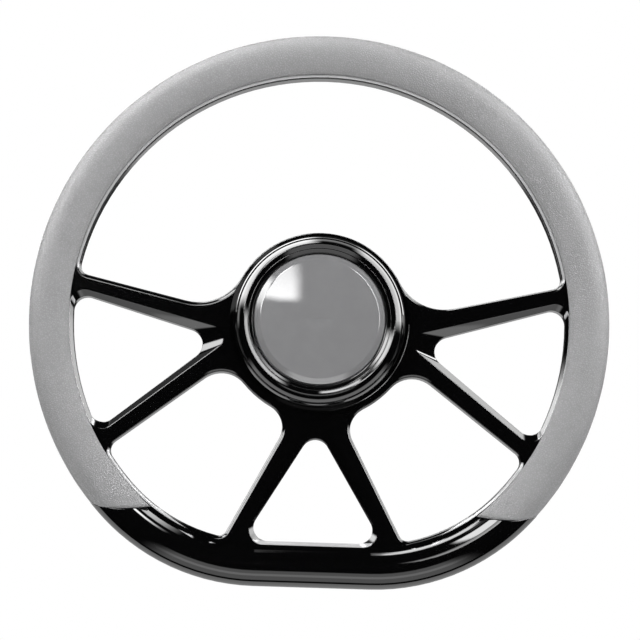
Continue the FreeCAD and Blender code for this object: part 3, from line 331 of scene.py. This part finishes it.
# %% Turned and drawn metals
def metal(name, dark, light, roughness, ring_size):
    """A metal turned round the Y axis: rings ring_size millimetres apart."""
    material, wire, output = new_finish(name)
    place = place_on(wire)
    radius = place.part("X").length_with(place.part("Z"))
    spacing = {"W": radius, "Scale": 1 / ring_size, "Detail": 3.0}
    rings = wire.node("ShaderNodeTexNoise", spacing, noise_dimensions="1D")
    stain = speckle(place, 11.0, 3.0)
    finish_with(
        wire, output,
        Base_Color=tint(wire, rings * 0.5 + stain * 0.5, dark, light),
        Metallic=1.0,
        Roughness=rings.clamped(0.25, 0.75, roughness - 0.06, roughness + 0.08),
        Normal=bumped(wire, rings, 0.03),
    )
    return material


def nylon():
    material, wire, output = new_finish("white_nylon")
    place = place_on(wire)
    cloud = speckle(place, 5.0, 3.0)
    finish_with(
        wire, output,
        Base_Color=tint(wire, cloud, (0.7, 0.69, 0.64), (0.82, 0.81, 0.77)),
        Roughness=cloud.clamped(0.3, 0.7, 0.42, 0.55),
        Normal=bumped(wire, speckle(place, 0.5, 2.0), 0.03),
    )
    return material


steel_pieces = [
    "hub_screws", "plate_screws", "lock_washer",
    "button_spring_top", "button_spring_left", "button_spring_right",
]
brass_pieces = ["contact_plate", "contact_stud", "terminal_tab", "stud_nut"]
aluminium = metal("turned_aluminium", (0.52, 0.52, 0.53), (0.78, 0.78, 0.79), 0.3, 0.35)
steel = metal("stainless_steel", (0.42, 0.42, 0.42), (0.62, 0.61, 0.6), 0.26, 0.25)
brass = metal("contact_brass", (0.52, 0.38, 0.15), (0.76, 0.6, 0.3), 0.27, 0.3)
paint(["hub_adapter"], aluminium)
paint(steel_pieces, steel)
paint(brass_pieces, brass)
paint(["stud_insulator", "insulating_washer"], nylon())

# %% [markdown]
# ## The leather grip
#
# The grip is leather over padding, glued round the rim. Its section is a C: a full round on the
# outside, flatter towards the frame, and a turned edge that tucks in against the frame's lip.
# We draw that section once, by spinning single points into arcs, and then spin it round the
# wheel. Spinning gives an even mesh, which a sheet bent by hand would not.

# %% Section of the grip
rim_radius = 177.8 * millimetre
rim_depth = -47 * millimetre
grip_radius = 12.6 * millimetre
crown_radius = 26 * millimetre
grip_width = 25.1 * millimetre
lip_half = 7 * millimetre
core_radius = 10 * millimetre
bar_radius = 12.1 * millimetre
edge_round = 0.9 * millimetre
edge_lift = 0.07 * edge_round
corner_steps = 4
crown_steps = 7
outside_steps = 22
core_steps = 18


def spin_point(mesh, vertex, centre, angle, steps):
    """Turn a point about a centre, leaving edges behind it. Returns the last point."""
    made = bmesh.ops.spin(
        mesh, geom=[vertex], cent=centre, axis=(0, 0, 1),
        angle=angle, steps=steps, use_duplicate=False)
    return made["geom_last"][0]


def run_to(mesh, vertex, x, y):
    """A straight run from a point to another."""
    made = bmesh.ops.extrude_vert_indiv(mesh, verts=[vertex])
    made["verts"][0].co = Vector((x, y, 0))
    return made["verts"][0]


def grip_section(mesh):
    """The C, drawn in X (out from the shaft) and Y (depth about the rim's middle)."""
    outside = rim_radius
    inner = outside - grip_width
    crown = outside - grip_radius
    reach = crown - inner
    sink = crown_radius - math.sqrt(crown_radius ** 2 - reach ** 2)
    brim = grip_radius - sink
    lean = math.asin(reach / crown_radius)
    round_start = Vector((inner, brim - edge_round))
    first = mesh.verts.new((inner, lip_half, 0))
    point = run_to(mesh, first, *round_start)
    corner = Vector((inner + edge_round, brim - edge_round, 0))
    point = spin_point(mesh, point, corner, -(math.pi / 2 - lean), corner_steps)
    point = run_to(mesh, point, inner + 2 * edge_round, crown_height(inner + 2 * edge_round))
    rest = math.asin((crown - point.co.x) / crown_radius)
    centre = Vector((crown, grip_radius - crown_radius, 0))
    point = spin_point(mesh, point, centre, -rest, crown_steps)
    point = spin_point(mesh, point, Vector((crown, 0, 0)), -math.pi, outside_steps)
    centre = Vector((crown, crown_radius - grip_radius, 0))
    point = spin_point(mesh, point, centre, -rest, crown_steps)
    point = run_to(mesh, point, inner + edge_round * (1 - math.sin(lean)), -brim + edge_lift)
    corner = Vector((inner + edge_round, -brim + edge_round, 0))
    point = spin_point(mesh, point, corner, -(math.pi / 2 - lean), corner_steps)
    point = run_to(mesh, point, inner, -lip_half)
    middle = Vector((outside - bar_radius, 0, 0))
    inside = middle.x - math.sqrt(core_radius ** 2 - lip_half ** 2)
    point = run_to(mesh, point, inside, -lip_half)
    wide = math.atan2(lip_half, -(inside - middle.x))
    point = spin_point(mesh, point, middle, 2 * math.pi - 2 * wide, core_steps)
    mesh.edges.new((point, first))
    return mesh


def crown_height(x):
    """Half thickness of the grip on its flatter part, x out from the shaft."""
    off = rim_radius - grip_radius - x
    return grip_radius - crown_radius + math.sqrt(crown_radius ** 2 - off ** 2)


section = bmesh.new()
grip_section(section)
print("section points:", len(section.verts))

# %% [markdown]
# ## Spin the section round the rim
#
# The leather stops above the bare bar at the bottom. Its ends are cut to a shallow curve, so the
# last part of the sweep is stretched: each point slides along the rim until it meets that curve.

# %% Sweep, ends and padding
end_aside = 118 * millimetre
end_height = -18.1 * millimetre
end_radius = 100 * millimetre
sweep_steps = 300
end_blend = math.radians(24)
wave_size = 22 * millimetre
dent_size = 9 * millimetre
skin_swell = 0.12 * millimetre


def end_angle(radius):
    """Angle from twelve o'clock at which a circle round the shaft meets the curved cut."""
    away = math.hypot(end_aside, end_height)
    towards = math.atan2(end_aside, end_height)
    cosine = (radius ** 2 + away ** 2 - end_radius ** 2) / (2 * radius * away)
    return towards + math.acos(cosine)


def sweep_grip(mesh):
    """Spin the section from one end of the leather to the other."""
    nominal = end_angle(rim_radius - grip_radius)
    bmesh.ops.translate(mesh, vec=(0, rim_depth, 0), verts=mesh.verts)
    start = Matrix.Rotation(-nominal - math.pi / 2, 3, "Y")
    bmesh.ops.rotate(mesh, cent=(0, 0, 0), matrix=start, verts=mesh.verts)
    first_ring = list(mesh.edges)
    made = bmesh.ops.spin(
        mesh, geom=mesh.verts[:] + mesh.edges[:], cent=(0, 0, 0), axis=(0, 1, 0),
        angle=2 * nominal, steps=sweep_steps, use_duplicate=False)
    last_ring = [part for part in made["geom_last"] if isinstance(part, bmesh.types.BMEdge)]
    for ring in (first_ring, last_ring):
        bmesh.ops.edgenet_fill(mesh, edges=ring, mat_nr=0, use_smooth=True)
    return nominal


def bend_ends(mesh, nominal):
    """Slide the points near each end along the rim to the curved cut."""
    for vertex in mesh.verts:
        radius = math.hypot(vertex.co.x, vertex.co.z)
        angle = math.atan2(vertex.co.x, vertex.co.z)
        share = max(0.0, 1 - (nominal - abs(angle)) / end_blend)
        side = 1 if angle > 0 else -1
        angle += side * (end_angle(radius) - nominal) * share ** 2
        vertex.co.x = radius * math.sin(angle)
        vertex.co.z = radius * math.cos(angle)


def soften(mesh):
    """Padding is never quite even: swell and dip the skin by a tenth of a millimetre."""
    mesh.normal_update()
    for vertex in mesh.verts:
        if vertex.normal.length < 0.5:
            continue
        wave = noise.noise(vertex.co / wave_size) + 0.5 * noise.noise(vertex.co / dent_size)
        vertex.co -= vertex.normal * skin_swell * (1 + wave)


def new_piece(name, mesh, body, material):
    """Turn a bmesh into a piece that rides on a body."""
    bmesh.ops.recalc_face_normals(mesh, faces=mesh.faces)
    data = bpy.data.meshes.new(name)
    mesh.to_mesh(data)
    mesh.free()
    data.shade_smooth()
    data.materials.append(material)
    piece = bpy.data.objects.new(name, data)
    scene.collection.objects.link(piece)
    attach(piece, body)
    print(name, len(data.polygons), "faces")
    return piece


nominal = sweep_grip(section)
bend_ends(section, nominal)
print("leather reaches", round(math.degrees(nominal)), "degrees each way from the top")

# %% [markdown]
# ## Leather
#
# This leather has a fine pebble: small rounded cells with creases between them. Voronoi cells
# give the pebbles, and their distance to the edge gives the creases, which are coloured darker.
# A soft, broad sheen comes from a fairly rough surface.

# %% Leather finish
pebble_size = 1.25


def grey_leather():
    material, wire, output = new_finish("grey_leather")
    place = place_on(wire)
    bend = speckle(place, 3.0, 2.0)
    nudged = place.node("ShaderNodeVectorMath", {0: place, 1: bend}, operation="ADD")
    cells = {"Vector": nudged, "Scale": 1 / pebble_size, "Randomness": 1.0}
    crease = wire.node("ShaderNodeTexVoronoi", cells, feature="DISTANCE_TO_EDGE")
    pebble = crease.clamped(0.0, 0.32)
    pores = speckle(place, 0.4, 2.0)
    patch = speckle(place, 30.0, 3.0)
    worn = speckle(place, 8.0, 3.0)
    height = pebble * 0.75 + pores * 0.25
    shade = pebble * 0.45 + patch * 0.35 + worn * 0.2
    finish_with(
        wire, output,
        Base_Color=tint(wire, shade, (0.15, 0.15, 0.152), (0.25, 0.25, 0.252)),
        Roughness=(1 - pebble * 0.35 + worn * 0.15).clamped(0.6, 1.15, 0.42, 0.62),
        Specular_IOR_Level=0.45,
        Normal=bumped(wire, height, 0.35, 0.35),
    )
    return material


soften(section)
grip = new_piece("leather_grip", section, "wheel", grey_leather())
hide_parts("grip_wrap")

# %% [markdown]
# ## Light and floor
#
# Black gloss shows its surroundings more than itself: the flat faces stay black because it is dark
# round the camera, and every rounded edge has a bright line because bright panels stand at the
# upper left, at the upper right and below. Two lamps light the matt surfaces, at a level where a
# grey renders as the grey it is.
#
# The panels could be lamps too, but then they would light the leather as well. So they are painted
# on the world, by direction, and only the rays that a glossy surface sends out can see them.

# %% Lamps, world and floor
@dataclass
class Panel:
    """A panel that only gloss sees. Turn is the angle round the view axis, from the right over
    the top; swing is the angle away from the camera. Both are in degrees."""

    turn: tuple
    swing: tuple
    level: float
    fade: float = 6.0


def soft_lamp(name, place, width, height, power):
    """A rectangle of light that faces the hub and isn't seen itself."""
    data = bpy.data.lights.new(name, "AREA")
    data.shape = "RECTANGLE"
    data.size = width
    data.size_y = height
    data.energy = power
    lamp = bpy.data.objects.new(name, data)
    towards = hub_front - Vector(place)
    facing = towards.to_track_quat("-Z", "Y").to_matrix().to_4x4()
    lamp.matrix_world = Matrix.Translation(place) @ facing
    lamp.visible_camera = False
    lamp.visible_glossy = False
    scene.collection.objects.link(lamp)
    print(name, power, "watts")


hub_front = Vector((0, -0.05, 0))
panel_soft = 2
patch_level = 15.0
plain_level = 0.42
panels = [
    Panel(turn=(95, 162), swing=(76, 112), level=14.0),
    Panel(turn=(92, 121), swing=(66, 76), level=12.0, fade=2.0),
    Panel(turn=(136, 162), swing=(50, 76), level=14.0),
    Panel(turn=(138, 160), swing=(20, 40), level=14.0, fade=2.0),
    Panel(turn=(112, 128), swing=(20, 46), level=16.0, fade=2.0),
    Panel(turn=(118, 133), swing=(54, 74), level=0.5, fade=2.0),
    Panel(turn=(4, 64), swing=(57, 112), level=10.0),
    Panel(turn=(4, 62), swing=(34, 42), level=25.0),
    Panel(turn=(-122, -58), swing=(20, 66), level=1.5),
    Panel(turn=(-120, -60), swing=(34, 44), level=1.2),
    Panel(turn=(-150, -30), swing=(78, 137), level=2.3),
]

soft_lamp("upper_left_lamp", (-1.3, -1.6, 1.25), 1.2, 1.2, 42)
soft_lamp("upper_right_lamp", (1.5, -1.2, 1.0), 0.9, 1.2, 30)


def studio_world():
    """White for the camera, one even level for matt surfaces, and soft panels for gloss."""
    world = bpy.data.worlds.new("studio")
    world.use_nodes = True
    tree = world.node_tree
    tree.nodes.clear()
    wire = Wire(tree)
    place = wire.node("ShaderNodeTexCoord", output="Generated")
    aside = place.part("X")
    height = place.part("Z")
    degree = 180 / math.pi
    swing = wire.maths("ARCCOSINE", place.part("Y") * -1, 0.0) * degree
    turn = wire.maths("ARCTAN2", height, aside) * degree
    gloss = swing.between(84, 108, 4) * height.clamped(-0.05, 0.1) * 3.0
    for panel in panels:
        shape = swing.between(*panel.swing, panel_soft) * turn.between(*panel.turn, panel.fade)
        gloss += shape * panel.level
    # The patch on the button: a square panel close beside the camera, brightest at its foot.
    patch = (aside * -1).clamped(0.012, 0.03) * height.clamped(0.127, 0.137)
    patch_fade = swing.clamped(22, 14) * height.clamped(0.13, 0.2, 1.0, 0.4)
    gloss += patch * patch_fade * patch_level
    gloss += swing.clamped(115, 135) * 0.15 + 0.004
    kind = wire.node("ShaderNodeLightPath").socket.node
    camera_ray = Wire(tree, kind.outputs["Is Camera Ray"])
    gloss_ray = Wire(tree, kind.outputs["Is Glossy Ray"])
    strength = camera_ray + gloss_ray * gloss + (1 - camera_ray - gloss_ray) * plain_level
    shader = wire.node("ShaderNodeBackground", {"Color": (1, 1, 1, 1), "Strength": strength})
    output = tree.nodes.new("ShaderNodeOutputWorld")
    tree.links.new(shader.socket, output.inputs["Surface"])
    scene.world = world


def studio_floor():
    """A pale floor under the wheel that gloss doesn't see."""
    mesh = bmesh.new()
    bmesh.ops.create_grid(mesh, x_segments=2, y_segments=2, size=4)
    bmesh.ops.translate(mesh, vec=(0, -3, 0), verts=mesh.verts)
    data = bpy.data.meshes.new("studio_floor")
    mesh.to_mesh(data)
    mesh.free()
    floor = bpy.data.objects.new("studio_floor", data)
    floor.location = (0, 0, -0.30)
    floor.visible_glossy = False
    scene.collection.objects.link(floor)
    material, wire, output = new_finish("pale_floor")
    cloud = speckle(place_on(wire), 400.0, 2.0)
    finish_with(
        wire, output,
        Base_Color=tint(wire, cloud, (0.78, 0.78, 0.78), (0.82, 0.82, 0.82)),
        Roughness=0.9,
    )
    data.materials.append(material)


studio_world()
studio_floor()
print("panels for gloss:", len(panels))
scene.view_settings.view_transform = "Standard"
